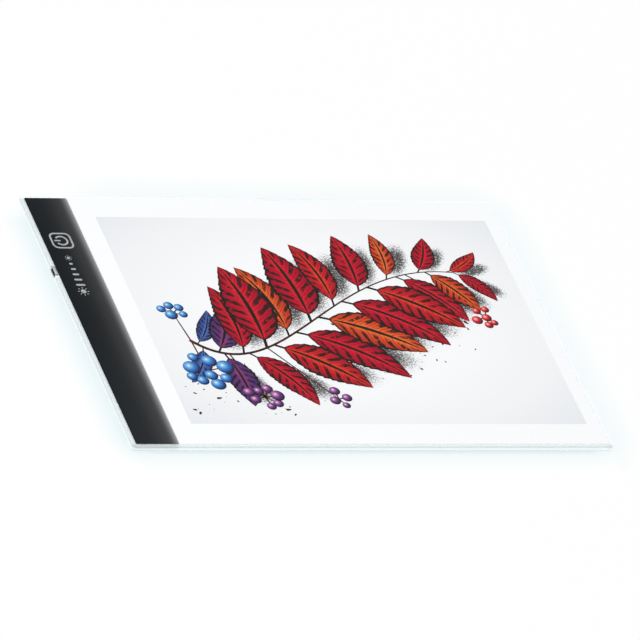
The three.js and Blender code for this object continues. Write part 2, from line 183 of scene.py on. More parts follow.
class Graph:
    """A tree of nodes, with short ways to add one."""

    def __init__(self, tree):
        self.tree = tree

    def feed(self, socket, value):
        """Sets an input to a number or colour, or links it to another node's output."""
        if isinstance(value, Amount):
            value = value.socket
        if isinstance(value, bpy.types.NodeSocket):
            self.tree.links.new(value, socket)
        elif socket.type == "RGBA":
            socket.default_value = shader_color(value)
        else:
            socket.default_value = value

    def feed_named(self, inputs, values):
        """Feeds inputs by name, where _ stands for a space."""
        for key, value in values.items():
            self.feed(inputs[key.replace("_", " ")], value)

    def node(self, kind, settings=None, *values, **named):
        """A new node, with its settings, and its inputs fed in order or by name."""
        made = self.tree.nodes.new("ShaderNode" + kind)
        for key, value in (settings or {}).items():
            setattr(made, key, value)
        for socket, value in zip(made.inputs, values):
            self.feed(socket, value)
        self.feed_named(made.inputs, named)
        return made

    def math(self, operation, *values):
        return Amount(self, self.node("Math", {"operation": operation}, *values).outputs[0])

    def vector(self, operation, *values):
        """A sum of vectors, which is an amount for LENGTH and DISTANCE."""
        made = self.node("VectorMath", {"operation": operation}, *values)
        if operation in ("LENGTH", "DISTANCE"):
            return Amount(self, made.outputs["Value"])
        return made.outputs["Vector"]

    def seen(self):
        """1 where the camera sees a thing, straight, in a reflection or through glass, else 0."""
        path = self.node("LightPath").outputs
        seen = self.math("MAXIMUM", path["Is Camera Ray"], path["Is Glossy Ray"])
        return larger(seen, path["Is Transmission Ray"])

    def mix_shaders(self, fac, low, high):
        return self.node("MixShader", None, fac, low, high).outputs[0]


print("graph helpers ready")

# %% A finish
# Cells on a flat face, which don't change with height.
FLAT = {"voronoi_dimensions": "2D"}


class Finish(Graph):
    """A material with one Principled shader, and the patterns that feed it."""

    def __init__(self, name, color, roughness, **sockets):
        self.material = bpy.data.materials.new(name)
        self.material.use_nodes = True
        super().__init__(self.material.node_tree)
        self.shader = self.tree.nodes["Principled BSDF"]
        self.shade(Base_Color=color, Roughness=roughness, **sockets)
        self.coordinates = self.node("TexCoord").outputs
        self.object = self.coordinates["Object"]

    def shade(self, **sockets):
        self.feed_named(self.shader.inputs, sockets)

    def xyz(self, vector=None):
        """The three parts of a vector, or of the object's coordinates."""
        parts = self.node("SeparateXYZ", Vector=vector or self.object).outputs
        return [Amount(self, part) for part in parts]

    def place(self, origin=(0, 0, 0), scale=(1, 1, 1), turn=0.0):
        """The object's coordinates from another origin, then scaled and turned."""
        moved = self.vector("SUBTRACT", self.object, origin)
        return self.node("Mapping", Vector=moved, Scale=scale, Rotation=(0, 0, turn)).outputs[0]

    def noise(self, scale, detail=3, roughness=0.5, vector=None):
        made = self.node(
            "TexNoise", Vector=vector or self.object,
            Scale=scale, Detail=detail, Roughness=roughness,
        )
        return Amount(self, made.outputs["Fac"])

    def cells(self, scale, settings=None, randomness=1.0):
        """The distance to the middle of the nearest cell, in cells."""
        made = self.node(
            "TexVoronoi", settings, Vector=self.object, Scale=scale, Randomness=randomness,
        )
        return Amount(self, made.outputs["Distance"])

    def ramp(self, value, *stops):
        """A colour ramp through pairs of position and colour."""
        made = self.node("ValToRGB", Fac=value)
        elements = made.color_ramp.elements
        while len(elements) < len(stops):
            elements.new(0.5)
        for element, (position, color) in zip(elements, stops):
            element.position = position
            element.color = shader_color(color)
        return made.outputs["Color"]

    def mix(self, fac, low, high, blend="MIX"):
        """A colour between two: a Mix node keeps its colours in its inputs 6 and 7."""
        made = self.node("Mix", {"data_type": "RGBA", "blend_type": blend})
        for index, value in ((0, fac), (6, low), (7, high)):
            self.feed(made.inputs[index], value)
        return made.outputs[2]

    def facing_up(self):
        """The normal's Z: 1 on faces that look up, 0 on upright ones and -1 on those below."""
        return self.xyz(self.node("NewGeometry").outputs["Normal"])[2]

    def side_faces(self):
        """1 on upright faces and 0 on level ones."""
        return abs(self.facing_up()).between(0.6, 0.2)

    def color(self, value):
        self.shade(Base_Color=value)

    def roughen(self, pattern, low, high):
        """Lets the roughness follow a pattern, from low to high."""
        made = self.node("MapRange", Value=pattern, To_Min=low, To_Max=high)
        self.shade(Roughness=made.outputs[0])

    def bump(self, height, distance, strength):
        made = self.node("Bump", Height=height, Distance=distance, Strength=strength)
        self.shade(Normal=made.outputs[0])

    def glow(self, color, strength):
        self.shade(Emission_Color=color, Emission_Strength=strength)


def finish_node(finish, *names):
    """Gives a finish to CAD nodes by name."""
    for name in names:
        materials = nodes[name].data.materials
        if len(materials) == 0:
            materials.append(finish.material)
        for index in range(len(materials)):
            materials[index] = finish.material


print("finish helpers ready")

# %% Two tones of one stuff


def mottled(name, dark, light, pattern, rough, bump=None, at=(0.3, 0.7), stretch=None, **sockets):
    """Two tones of one stuff that drift into each other by noise, which the roughness follows.

    pattern is the noise's scale, detail and roughness, rough the least and most roughness, bump
    a distance and a strength, at the noise's value at each tone, and stretch its scale by axis.
    """
    middle = [(low + high) / 2 for low, high in zip(dark, light)]
    finish = Finish(name, middle, sum(rough) / 2, **sockets)
    drift = finish.noise(*pattern, vector=finish.place(scale=stretch) if stretch else None)
    finish.color(finish.ramp(drift, (at[0], dark), (at[1], light)))
    finish.roughen(drift, *rough)
    if bump:
        finish.bump(drift, *bump)
    return finish


print("a finish can be mottled")

# %% [markdown]
# ## Light
# The picture is a product shot on white, with soft light from all round. A white world gives
# that by itself, but then nothing casts a shadow or shows a highlight, so about a quarter of the
# light comes from two large soft lamps instead. Together they light a level surface at about
# the strength at which a colour renders as it is written.

# %% World and lamps
WORLD_LIGHT = 0.72
WORLD_TINT = (253.3, 254.4, 255)
BACKDROP_WHITE = 1.0
LAMPS = [
    # name, place in metres, width of the square lamp in metres, power in watts
    ("lamp_left", Vector((-1.1, -0.7, 1.9)), 1.3, 13.0),
    ("lamp_back", Vector((0.9, 1.3, 1.7)), 1.0, 6.0),
]


def white_world():
    """White where the camera or a reflection sees it, and the plain light level elsewhere."""
    world = bpy.data.worlds.new("white_world")
    bpy.context.scene.world = world
    world.use_nodes = True
    world.node_tree.nodes.clear()
    graph = Graph(world.node_tree)
    light = graph.node("Background", Color=WORLD_TINT, Strength=WORLD_LIGHT).outputs[0]
    backdrop = graph.node("Background", Color=WHITE, Strength=BACKDROP_WHITE).outputs[0]
    graph.node("OutputWorld", Surface=graph.mix_shaders(graph.seen(), light, backdrop))


def add_lamp(name, place, width, power):
    """A square soft lamp that faces the pad."""
    data = bpy.data.lights.new(name, "AREA")
    data.shape = "SQUARE"
    data.size = width
    data.energy = power
    add_to_scene(name, data, Matrix.Translation(place) @ looking_back(place))


white_world()
for lamp in LAMPS:
    add_lamp(*lamp)
bpy.context.scene.view_settings.view_transform = "Standard"
print(len(LAMPS), "lamps, world at", WORLD_LIGHT)

# %% [markdown]
# ## The writing surface
# The panel is a sheet of opal plastic with a fine matt face, lit from below. It could be a
# plain white emitter, but then it would look like a hole in the picture. It is a white diffuse
# surface that adds about a fifth of its brightness by itself, a little more along the LEDs'
# side, with the fine tooth that pencils need.

# %% Opal panel
PANEL_GLOW = 0.205
PANEL_FADE = 0.012
PANEL_EDGE_GLOW = 0.25
panel_low, panel_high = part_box("top_panel")


def opal_panel():
    finish = Finish("opal_panel", (226, 227, 227), 0.55, Specular_IOR_Level=0.35)
    fade = finish.xyz()[0].between(panel_low.x, panel_high.x, smooth=False)
    cloud = finish.noise(14, 2)
    # Painted light: the upright edges glow more, which lifts the shade along the panel's edge.
    level = PANEL_GLOW + PANEL_FADE * (cloud - fade) + PANEL_EDGE_GLOW * finish.side_faces()
    finish.glow((250, 253, 255), level)
    tooth = finish.noise(3200, 2, 0.6)
    finish.bump(tooth, 0.02 * MM, 0.35)
    finish.roughen(tooth, 0.42, 0.6)
    return finish


finish_node(opal_panel(), "top_panel")
print("panel", millimetres(panel_high - panel_low), "mm")

# %% [markdown]
# ## The black strip
# The strip is black film with a clear glossy face. Beside the panel it fades to grey over some
# centimetres, because the light that has just left the LEDs runs under it there and shines
# through the ink. That light is painted into the ink's colour, as a ramp along X, not a lamp,
# and a faint painted sheen lightens the strip toward its two ends. The gloss is kept low, since
# a white room would turn a fully glossy black to grey.

# %% Black strip
strip_low, strip_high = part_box("control_strip")
# The ink, with the painted light that shines through it beside the panel, at shares of the strip's
# width.
INK_AND_LIGHT_ACROSS = [
    (0.0, (8, 16, 20)), (0.36, (21, 25, 28)), (0.5, (30, 32, 34)),
    (0.6, (40, 41, 43)), (0.78, (54, 54, 56)), (0.83, (64, 64, 66)),
    (0.875, (84, 84, 86)), (0.92, (110, 110, 112)), (0.965, (138, 138, 140)),
    (1.0, (176, 178, 180)),
]
# A painted sheen that is added toward the strip's two ends.
PAINTED_SHEEN_ALONG = [
    (0.0, (19, 21, 23)), (0.5, (0, 0, 0)), (0.8, (0, 0, 0)), (1.0, (7, 8, 10)),
]
SMEAR = 0.012


def black_strip():
    finish = Finish("black_strip", (12, 16, 18), 0.3, Specular_IOR_Level=0.025)
    x, y, _ = finish.xyz()
    across = x.between(strip_low.x, strip_high.x, smooth=False)
    along = y.between(strip_low.y, strip_high.y, smooth=False)
    ink_and_light = finish.ramp(across, *INK_AND_LIGHT_ACROSS)
    ink_and_light = finish.mix(1.0, ink_and_light, finish.ramp(along, *PAINTED_SHEEN_ALONG), "ADD")
    smear = finish.noise(90, 4, 0.6)
    finish.color(finish.mix(SMEAR * smear, ink_and_light, (120, 124, 128)))
    finish.roughen(smear, 0.22, 0.36)
    finish.bump(finish.noise(1500, 2), 0.01 * MM, 0.2)
    return finish


finish_node(black_strip(), "control_strip")
print("strip", millimetres(strip_high - strip_low), "mm")

# %% [markdown]
# ## The clear plate
# The acrylic plate shows as a rim all round and as the pad's sides. Light from the LEDs that
# reaches a polished edge leaves there, so the edges glow a little cyan. Pure glass would need
# many light paths to look right at this thickness, so the finish is only partly clear, and its
# faces add their own light, least beside the black strip. What turns the light upward is a
# field of dots etched in the underside. They are small near the LEDs and larger far from them,
# so that the panel is as bright at its far end. Cut as real pits they would be fifty thousand
# holes that nobody sees until the pad is opened, so they are a pattern of cells on the faces
# that look down.

# %% Dots under the plate
plate_low, plate_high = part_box("light_guide_plate")
DOT_PITCH = 1.3 * MM
DOT_MARGIN = 3 * MM
DOT_UNEVENNESS = 0.3
# A dot's radius beside the LEDs and at the far end, and its soft edge, in shares of the pitch.
DOT_SMALL = 0.16
DOT_LARGE = 0.36
DOT_SOFT = 0.03


def etched_dots(finish, x, y, z):
    """1 inside the dots under the panel, on faces at the plate's underside, and 0 elsewhere."""
    far = x.between(panel_low.x, panel_high.x, smooth=False)
    radius = DOT_SMALL + (DOT_LARGE - DOT_SMALL) * far
    past = finish.cells(1 / DOT_PITCH, FLAT, DOT_UNEVENNESS) - radius
    # How far out a point lies toward the right side, the front or the rear.
    reach = larger(x, abs(y) + (panel_high.x - panel_high.y))
    return (
        past.between(DOT_SOFT, -DOT_SOFT)
        * finish.facing_up().between(-0.5, -0.9)
        * z.between(plate_low.z + 0.2 * MM, plate_low.z + 0.1 * MM)
        * x.between(panel_low.x + DOT_MARGIN, panel_low.x + 1.2 * DOT_MARGIN)
        * reach.between(panel_high.x - DOT_MARGIN, panel_high.x - 1.2 * DOT_MARGIN)
    )


print("a dot every", DOT_PITCH / MM, "mm")

# %% Light of the rim
RIM_WIDTH = strip_low.x - plate_low.x
# The light of the level rim at the outline, and what comes to it at its inner edge, in front,
# along the far sides, and along these at the far corner.
RIM_GLOW = 0.11
RIM_INNER = 0.1
RIM_FRONT = -0.2
RIM_FAR = -0.06
RIM_FAR_CORNER = 0.08
# What the strip takes from the rim beside it, and more of it at the inner edge.
STRIP_DIMS = 0.02
STRIP_DIMS_INNER = 0.17


def rim_light(x, y, front, by_strip):
    """The light that the plate's level rim adds."""
    inner = smaller(plate_high.x - abs(x), plate_high.y - abs(y)).between(0, RIM_WIDTH)
    far_sides = larger(
        x.between(plate_high.x - 5 * MM, plate_high.x - 3 * MM),
        y.between(plate_high.y - 5 * MM, plate_high.y - 3 * MM),
    )
    far_corner = (x + y).between(120 * MM, 230 * MM)
    light = RIM_GLOW + RIM_INNER * inner + RIM_FRONT * front
    light = light + far_sides * (RIM_FAR + RIM_FAR_CORNER * far_corner)
    return larger(light - by_strip * (STRIP_DIMS + STRIP_DIMS_INNER * inner), 0.0)


print("rim", round(RIM_WIDTH / MM, 1), "mm wide")

# %% Clear acrylic
EDGE_TINT = (243, 251, 253)
# The light of the upright faces at their top, and what comes to it low down and by the strip.
SIDE_GLOW = 0.22
SIDE_LOW = 0.24
SIDE_BY_STRIP = -0.02
DOT_GLOW = 0.3
# How much painted shade from the strip darkens the clear plastic in front of it, level and upright.
STRIP_SHADE_LEVEL = 0.3
STRIP_SHADE_SIDE = 0.04


def clear_acrylic():
    finish = Finish("clear_acrylic", (226, 240, 243), 0.08, IOR=1.49, Transmission_Weight=0.3)
    x, y, z = finish.xyz()
    side = finish.side_faces()
    front = y.between(plate_low.y + 5 * MM, plate_low.y)
    by_strip = x.between(strip_high.x + 2 * MM, strip_high.x - 4 * MM)
    by_strip = by_strip * y.between(strip_high.y + MM, strip_high.y - MM)
    low = z.between(plate_high.z - 0.4 * MM, plate_low.z + 0.4 * MM)
    side_light = SIDE_GLOW + SIDE_LOW * low + SIDE_BY_STRIP * by_strip
    light = larger(side * side_light, (1 - side) * rim_light(x, y, front, by_strip))
    dots = etched_dots(finish, x, y, z)
    finish.glow(EDGE_TINT, light + DOT_GLOW * dots)
    polish = side * finish.noise(600, 2, 0.5, finish.place(scale=(0.05, 0.05, 1)))
    finish.roughen(polish + dots, 0.05, 0.2)
    finish.bump(polish - dots, 0.02 * MM, 0.3)
    height = z.between(plate_low.z, plate_high.z, smooth=False)
    body = finish.ramp(height, (0.0, (222, 236, 239)), (1.0, (240, 247, 248)))
    strip_shade = STRIP_SHADE_LEVEL + (STRIP_SHADE_SIDE - STRIP_SHADE_LEVEL) * side
    # Painted shade: the plastic in front of the strip is darkened toward grey.
    body = finish.mix(strip_shade * by_strip * front, body, (120, 130, 134))
    finish.color(finish.mix(dots, body, (250, 252, 252)))
    return finish


finish_node(clear_acrylic(), "light_guide_plate")
print("plate", millimetres(plate_high - plate_low), "mm")

# %% [markdown]
# ## Back cover and feet
# The back is a white plastic sheet with a leather-like grain, which hides scratches. Real
# geometry for grain this fine would be millions of faces, and it is never seen as an outline,
# so it is a bump from a pattern of small round cells. The feet are discs of milky rubber, smooth
# and slightly dusty.

# %% Back cover and feet
FEET = ("foot_front_left", "foot_front_right", "foot_rear_left", "foot_rear_right")
COVER_EDGE_GLOW = 0.27


def back_sheet():
    finish = Finish("back_sheet", (238, 241, 241), 0.55)
    wrinkle = finish.noise(420, 3, 0.6)
    finish.bump(finish.cells(900, {"feature": "SMOOTH_F1"}) + wrinkle, 0.08 * MM, 0.6)
    finish.roughen(wrinkle, 0.45, 0.7)
    dirt = finish.noise(16, 4, 0.65)
    finish.color(finish.ramp(dirt, (0.3, (236, 238, 238)), (0.7, (240, 242, 242))))
    # Painted light: the cover's upright edges glow, for LED light that leaks out between the
    # layers.
    finish.glow((236, 250, 253), COVER_EDGE_GLOW * finish.side_faces())
    return finish


def foot_rubber():
    finish = mottled(
        "foot_rubber", (192, 195, 194), (214, 216, 214), (700, 4, 0.65), (0.5, 0.8),
        at=(0.3, 0.75), Subsurface_Weight=0.2, Subsurface_Radius=(MM, MM, MM),
    )
    finish.bump(finish.noise(2600, 2), 0.03 * MM, 0.4)
    return finish


finish_node(back_sheet(), "back_cover")
finish_node(foot_rubber(), *FEET)
print("feet", FEET)

# %% [markdown]
# ## Films and tapes
# White PET film reflects light under the plate and spreads it over the plate. Double-sided tape
# holds the layers along their edges. They show only as a pale band through the clear rim, so
# each is one simple finish: film with a satin streak, and tape with the faint mottling of its
# glue.

# %% Films and tapes
TAPE_EDGE_GLOW = 0.2


def clear_tape():
    finish = mottled(
        "clear_tape", (220, 226, 227), (236, 240, 240), (260, 4, 0.6), (0.3, 0.55),
        (0.02 * MM, 0.3), at=(0.35, 0.7),
    )
    # Painted light: the tape's upright edges glow, though the tape is no lamp.
    finish.glow(EDGE_TINT, TAPE_EDGE_GLOW * finish.side_faces())
    return finish


white_film = mottled(
    "white_film", (240, 243, 243), (248, 250, 250), (40, 3, 0.5), (0.2, 0.35),
    stretch=(1, 12, 1),
)
finish_node(white_film, "reflector_film", "diffuser_film")
finish_node(clear_tape(), "back_tape", "panel_tape", "strip_tape")
print("films and tapes finished")

# %% [markdown]
# ## The electronics
# None of this shows while the pad is whole, but a part that is taken apart should look right
# too. The boards carry traces under their solder mask, each LED has a yellow window in a white
# body, and the socket is bright tin-plated steel. Each pattern is made from coordinates, so
# nothing has to be unwrapped.

# %% Boards
# A via's ring and hole, and their soft edge, in shares of the cells that they lie in.
VIA_RING = 0.13
VIA_HOLE = 0.06
VIA_SOFT = 0.02


def board_mask(name, mask, copper, pitch):
    """Solder mask with copper tracks under it, and tinned vias, each with a hole."""
    finish = Finish(name, mask, 0.35)
    tracks = finish.node(
        "TexBrick", {"offset": 0.37, "offset_frequency": 3, "squash": 0.45, "squash_frequency": 2},
        Vector=finish.object, Scale=1.0, Color1=(0, 0, 0), Color2=(0, 0, 0), Mortar=WHITE,
        Mortar_Size=pitch / 6, Brick_Width=pitch * 14, Row_Height=pitch,
    )
    track = finish.xyz(tracks.outputs["Color"])[0]
    away = finish.cells(1 / (pitch * 5), FLAT, 0.9)
    ring = away.between(VIA_RING, VIA_RING - VIA_SOFT)
    hole = away.between(VIA_HOLE, VIA_HOLE - VIA_SOFT)
    drawn = finish.mix(ring, finish.mix(track, mask, copper), (206, 210, 208))
    finish.color(finish.mix(hole, drawn, (22, 20, 16)))
    finish.bump(larger(track, ring) - hole, 0.03 * MM, 0.4)
    finish.roughen(track, 0.28, 0.4)
    return finish


green_mask = board_mask("green_board", (16, 82, 48), (44, 128, 74), 0.7 * MM)
white_mask = board_mask("white_board", (238, 241, 238), (222, 226, 222), 0.6 * MM)
finish_node(green_mask, "control_board")
finish_node(white_mask, "led_bar_board")
print("boards finished")

# %% LEDs


def numbered(kind):
    """The nodes of one kind, such as led_01, led_02 and so on."""
    return [name for name in nodes if name.rpartition("_")[0] == kind]


LEDS = numbered("led")
LED_BODY = (244, 244, 238)
led_low, led_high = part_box(LEDS[0])


def led_package():
    """White plastic round a yellow window, which lies a tenth of a millimetre in its front."""
    finish = Finish("led_package", LED_BODY, 0.3, Coat_Weight=0.2)
    x = finish.xyz()[0]
    window = x.between(led_high.x - 0.1 * MM, led_high.x - 0.12 * MM)
    window = window * x.between(led_high.x - 0.2 * MM, led_high.x - 0.18 * MM)
    glaze = finish.mix(finish.noise(2500, 2), (240, 206, 70), (252, 226, 110))
    finish.color(finish.mix(window, LED_BODY, glaze))
    finish.glow((255, 248, 214), window)
    grain = finish.noise(1800, 2, 0.5, finish.place((0, 0, led_low.z)))
    finish.bump(grain, 0.01 * MM, 0.2)
    finish.roughen(grain, 0.28, 0.32)
    return finish


finish_node(led_package(), *LEDS)
print(len(LEDS), "LEDs")

# %% [markdown]
# ## Socket, chips, leads and foam
# The socket's shell is drawn steel with a streak along it, its contacts are plated with gold,
# chips are moulded black plastic, and small capacitors are tan ceramic. All of these are one
# idea: two near tones that drift into each other, with a roughness that follows. So they share
# one helper and differ in their tones, the size of the drift and the gloss. The foam is the
# exception, since its pores are cells.

# %% Socket, chips, leads and foam
BLACK_PARTS = ("usb_tongue", "touch_chip", "driver_transistor", *numbered("resistor"))


def insulation(name, dark, light):
    """The plastic skin of a lead."""
    return mottled(name, dark, light, (1200, 2), (0.35, 0.55), (0.01 * MM, 0.2))


def grey_foam():
    finish = Finish("grey_foam", (96, 99, 101), 0.95)
    pores = finish.cells(1400)
    finish.color(finish.ramp(pores, (0.1, (58, 60, 62)), (0.5, (108, 111, 113))))
    finish.bump(pores, 0.1 * MM, 0.8)
    return finish


socket_steel = mottled(
    "socket_steel", (128, 132, 135), (156, 160, 163), (900, 3, 0.6), (0.2, 0.42),
    (0.01 * MM, 0.3), stretch=(0.08, 1, 1), Metallic=1.0,
)
contact_gold = mottled(
    "contact_gold", (206, 168, 84), (234, 204, 120), (1600, 3), (0.18, 0.35), Metallic=1.0,
)
black_package = mottled(
    "black_package", (24, 25, 27), (42, 43, 45), (3000, 3, 0.6), (0.45, 0.7),
    (0.02 * MM, 0.35), at=(0.3, 0.75),
)
tan_ceramic = mottled("tan_ceramic", (160, 124, 82), (190, 154, 108), (2400, 3), (0.3, 0.5))
finish_node(socket_steel, "usb_shell")
finish_node(contact_gold, "usb_contacts")
finish_node(black_package, *BLACK_PARTS)
finish_node(tan_ceramic, *numbered("capacitor"))
finish_node(insulation("red_insulation", (160, 28, 24), (198, 44, 36)), "led_lead_positive")
finish_node(insulation("black_insulation", (26, 26, 28), (52, 52, 54)), "led_lead_negative")
finish_node(grey_foam(), "touch_foam", "strip_support_foam")
print(len(BLACK_PARTS), "black parts, and the rest of the electronics, finished")

# %% [markdown]
# ## Laying out the drawing
# The sheet carries a printed drawing: a spray of autumn leaves and berries. Its layout comes
# before the paper's own finish, because the soft shade under the leaves is part of the print
# and has to follow them. Leaves could be scattered at random, but a branch grows by a rule: one
# curved stem, with leaves that leave it left and right at an angle that closes toward the tip.

# %% Layout of the spray
sheet_low, sheet_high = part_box("drawing_sheet")
sheet_middle = (sheet_low + sheet_high) / 2
sheet_half = (sheet_high - sheet_low) / 2
# The stem's four control points, in millimetres from the sheet's middle.
STEM = [Vector(point) for point in ((-120, -22), (-66, -78), (10, 64), (104, 50))]
# The leaves, in turn left and right of the stem: colour, share along the stem, opening in
# degrees, length in millimetres.
LEAVES = [
    ("indigo", 0.02, 84, 40), ("indigo", 0.04, 66, 42),
    ("violet", 0.1, 74, 54), ("violet", 0.12, 60, 54),
    ("crimson", 0.2, 66, 70), ("crimson", 0.22, 52, 64),
    ("crimson", 0.3, 58, 84), ("scarlet", 0.33, 52, 74),
    ("orange", 0.4, 52, 74), ("crimson", 0.43, 50, 86),
    ("crimson", 0.5, 50, 78), ("orange", 0.53, 50, 80),
    ("scarlet", 0.6, 48, 66), ("crimson", 0.63, 50, 82),
    ("crimson", 0.7, 48, 58), ("scarlet", 0.73, 50, 74),
    ("orange", 0.8, 46, 48), ("crimson", 0.83, 50, 62),
    ("crimson", 0.9, 44, 40), ("orange", 0.92, 48, 50),
    ("scarlet", 0.98, 22, 36), ("crimson", 1.0, 26, 38),
]


def on_sheet(point):
    """A point of the layout, in millimetres from the sheet's middle, as a place on its face."""
    return Vector((sheet_middle.x + point.x * MM, sheet_middle.y + point.y * MM, sheet_high.z))


def on_stem(share):
    """The stem's point and heading at a share of its length, from its four control points."""
    rest = 1 - share
    a, b, c, d = STEM
    point = a * rest ** 3 + 3 * b * share * rest ** 2 + 3 * c * share ** 2 * rest + d * share ** 3
    along = (b - a) * rest ** 2 + 2 * (c - b) * share * rest + (d - c) * share ** 2
    return point, math.atan2(along.y, along.x)


def heading(angle):
    return Vector((math.cos(angle), math.sin(angle)))


def leaf_line(index):
    """A leaf's foot, heading and length. Leaves with an even index lie left of the stem."""
    _, share, opening, length = LEAVES[index]
    foot, along = on_stem(share)
    side = -1 if index % 2 else 1
    return foot, along + side * math.radians(opening), length


lines = [leaf_line(index) for index in range(len(LEAVES))]
tips = [foot + heading(turn) * length for foot, turn, length in lines]
reach_x = max(abs(tip.x) for tip in tips)
reach_y = max(abs(tip.y) for tip in tips)
print(len(LEAVES), "leaves reach", round(reach_x), "by", round(reach_y), "mm from the middle")

# %% [markdown]
# ## The sheet of paper
# The sheet is smooth printing paper. Its background isn't plain white: it is a pale grey wash
# that darkens toward the corners, and under the leaves lies a soft stippled shade. Both are in
# the paper's own finish, on the face that looks up: the wash is a ramp on the distance from the
# middle, and each patch of shade is a soft ellipse beside a leaf, broken up by noise as an
# airbrush breaks up. The back of the sheet stays plain.

# %% Paper
# The wash at shares of the way from the sheet's middle to its corners.
WASH = [
    (0.0, (247, 248, 249)), (0.45, (245, 246, 247)),
    (0.75, (239, 240, 242)), (1.0, (229, 231, 234)),
]
# A patch of shade, in shares of its leaf's length: where its middle lies along the leaf, how far
# it is pushed to the lower right, and half its length and width.
SHADE_ALONG = 0.55
SHADE_PUSH = Vector((0.075, -0.1))
SHADE_HALF_LENGTH = 0.54
SHADE_HALF_WIDTH = 0.27
# The first pair of leaves lies among berries, and has no shade.
SHADED_LINES = lines[2:]
FIBRE = 0.05
PAPER_GLOW = 0.05


def soft_ellipse(finish, point, turn, long, short):
    """1 in the middle of an ellipse on the sheet, and 0 from its edge outward."""
    turned = finish.place(on_sheet(point), turn=-turn)
    scaled = finish.vector("MULTIPLY", turned, (1 / (long * MM), 1 / (short * MM), 0))
    return finish.vector("LENGTH", scaled).between(1.0, 0.3)


def leaf_shade(finish):
    """How dark the print is under and beside the leaves."""
    shade = 0.0
    for foot, turn, length in SHADED_LINES:
        point = foot + (heading(turn) * SHADE_ALONG + SHADE_PUSH) * length
        long, short = length * SHADE_HALF_LENGTH, length * SHADE_HALF_WIDTH
        shade = larger(soft_ellipse(finish, point, turn, long, short), shade)
    return shade ** 0.8 * (finish.noise(900, 4, 0.7) + 0.3 * shade).between(0.6, 0.78)


def paper():
    finish = Finish("paper_sheet", (244, 246, 247), 0.75)
    reach = finish.place(sheet_middle, (1 / sheet_half.x, 1 / sheet_half.y, 0))
    wash = finish.ramp(finish.vector("LENGTH", reach) / math.sqrt(2), *WASH)
    washed = finish.mix(leaf_shade(finish), wash, (46, 42, 44))
    upper = finish.facing_up().between(0.2, 0.6)
    washed = finish.mix(upper, (244, 245, 245), washed)
    fibre = finish.noise(1100, 5, 0.7)
    finish.color(finish.mix(FIBRE * fibre, washed, (214, 214, 210)))
    finish.bump(fibre, 0.02 * MM, 0.35)
    finish.roughen(fibre, 0.65, 0.85)
    # Painted light: the sheet glows a little in its own colour, for the panel's light that comes
    # through it.
    finish.glow(washed, PAPER_GLOW)
    return finish


finish_node(paper(), "drawing_sheet")
print("sheet", millimetres(2 * sheet_half, 2), "mm")

# %% [markdown]
# ## Modelling helpers
# The prints are thin flat pieces. Each starts as a primitive at its size and place and is
# shaped in edit mode, as it would be by hand. An operator works on all that is selected, so
# everything is deselected first, and faces or points are then selected by where they are.

# %% Start, select and shape a piece


def start(name, add, scale=(1, 1, 1), **settings):
    """Adds a primitive with nothing else selected, and puts its place and size in its mesh.

    The object takes the scale, because an operator that adds a plane leaves its own unused.
    """
    bpy.ops.object.select_all(action="DESELECT")
    add(**settings)
    piece = bpy.context.object
    piece.name = name
    piece.data.name = name
    piece.scale = scale
    bpy.ops.object.transform_apply(location=True, rotation=True, scale=True)
    return piece


def select_only(piece):
    bpy.ops.object.select_all(action="DESELECT")
    piece.select_set(True)
    bpy.context.view_layer.objects.active = piece


def choose(piece, kind, test):
    """Selects the points or faces of a piece for which the test of their place holds."""
    bpy.ops.object.mode_set(mode="EDIT")
    bpy.ops.mesh.select_mode(type=kind)
    bpy.ops.mesh.select_all(action="DESELECT")
    bpy.ops.object.mode_set(mode="OBJECT")
    if kind == "FACE":
        for face in piece.data.polygons:
            face.select = test(face.center)
    else:
        for point in piece.data.vertices:
            point.select = test(point.co)
    bpy.ops.object.mode_set(mode="EDIT")


def finish_editing():
    bpy.ops.object.mode_set(mode="OBJECT")


def round_corners(piece, radius, segments):
    """Rounds every corner of a flat piece."""
    choose(piece, "VERT", lambda point: True)
    bpy.ops.mesh.bevel(affect="VERTICES", offset=radius, segments=segments)
    finish_editing()


print("a piece can be started, selected and shaped")

# %% Thicken, copy, join and dress a piece


def thicken(piece, thickness):
    """Gives a flat piece its thickness, upward."""
    select_only(piece)
    solidify = piece.modifiers.new("thickness", "SOLIDIFY")
    solidify.thickness = thickness
    solidify.offset = 1
    bpy.ops.object.modifier_apply(modifier=solidify.name)


def copy_of(piece, name):
    """A copy with its own mesh."""
    copied = piece.copy()
    copied.data = piece.data.copy()
    copied.name = name
    bpy.context.scene.collection.objects.link(copied)
    return copied


def join(pieces, name):
    select_only(pieces[0])
    for piece in pieces:
        piece.select_set(True)
    bpy.ops.object.join()
    whole = bpy.context.object
    whole.name = name
    whole.data.name = name
    return whole


def clear_away(*shapes):
    """Takes out the shapes that were only made to be copied."""
    for shape in shapes:
        bpy.data.objects.remove(shape)


def dress(piece, finish, body):
    """Gives a finished piece its one material, its body and its slot."""
    piece.data.materials.clear()
    piece.data.materials.append(finish.material)
    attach(piece, body)


print("a piece can be thickened, copied, joined and dressed")

# %% [markdown]
# ## Marks on the strip
# The touch key is printed in pale ink: a ring and a bar in a rounded square, turned so that it
# reads from the pad's left end. Beside it a row of bars that grow shows that holding the key
# changes the brightness, between a small sun and a large one. Screen print is a film of ink
# some hundredths of a millimetre thick, so each mark is a thin solid on the strip and not a
# picture in its finish.

# %% The touch key's mark
PRINT_THICKNESS = 0.02 * MM
KEY_PLACE = Vector((-163.6 * MM, 80.3 * MM, strip_high.z))
KEY_FRAME = 16.0 * MM
KEY_CORNER = 4.4 * MM
KEY_LINE = 1.35 * MM
KEY_RING = 4.9 * MM
KEY_BAR = 4.8 * MM
# How far the bar's middle lies left of the ring's, in shares of the bar.
KEY_BAR_SHIFT = 0.62
KEY_GAP = math.radians(34)


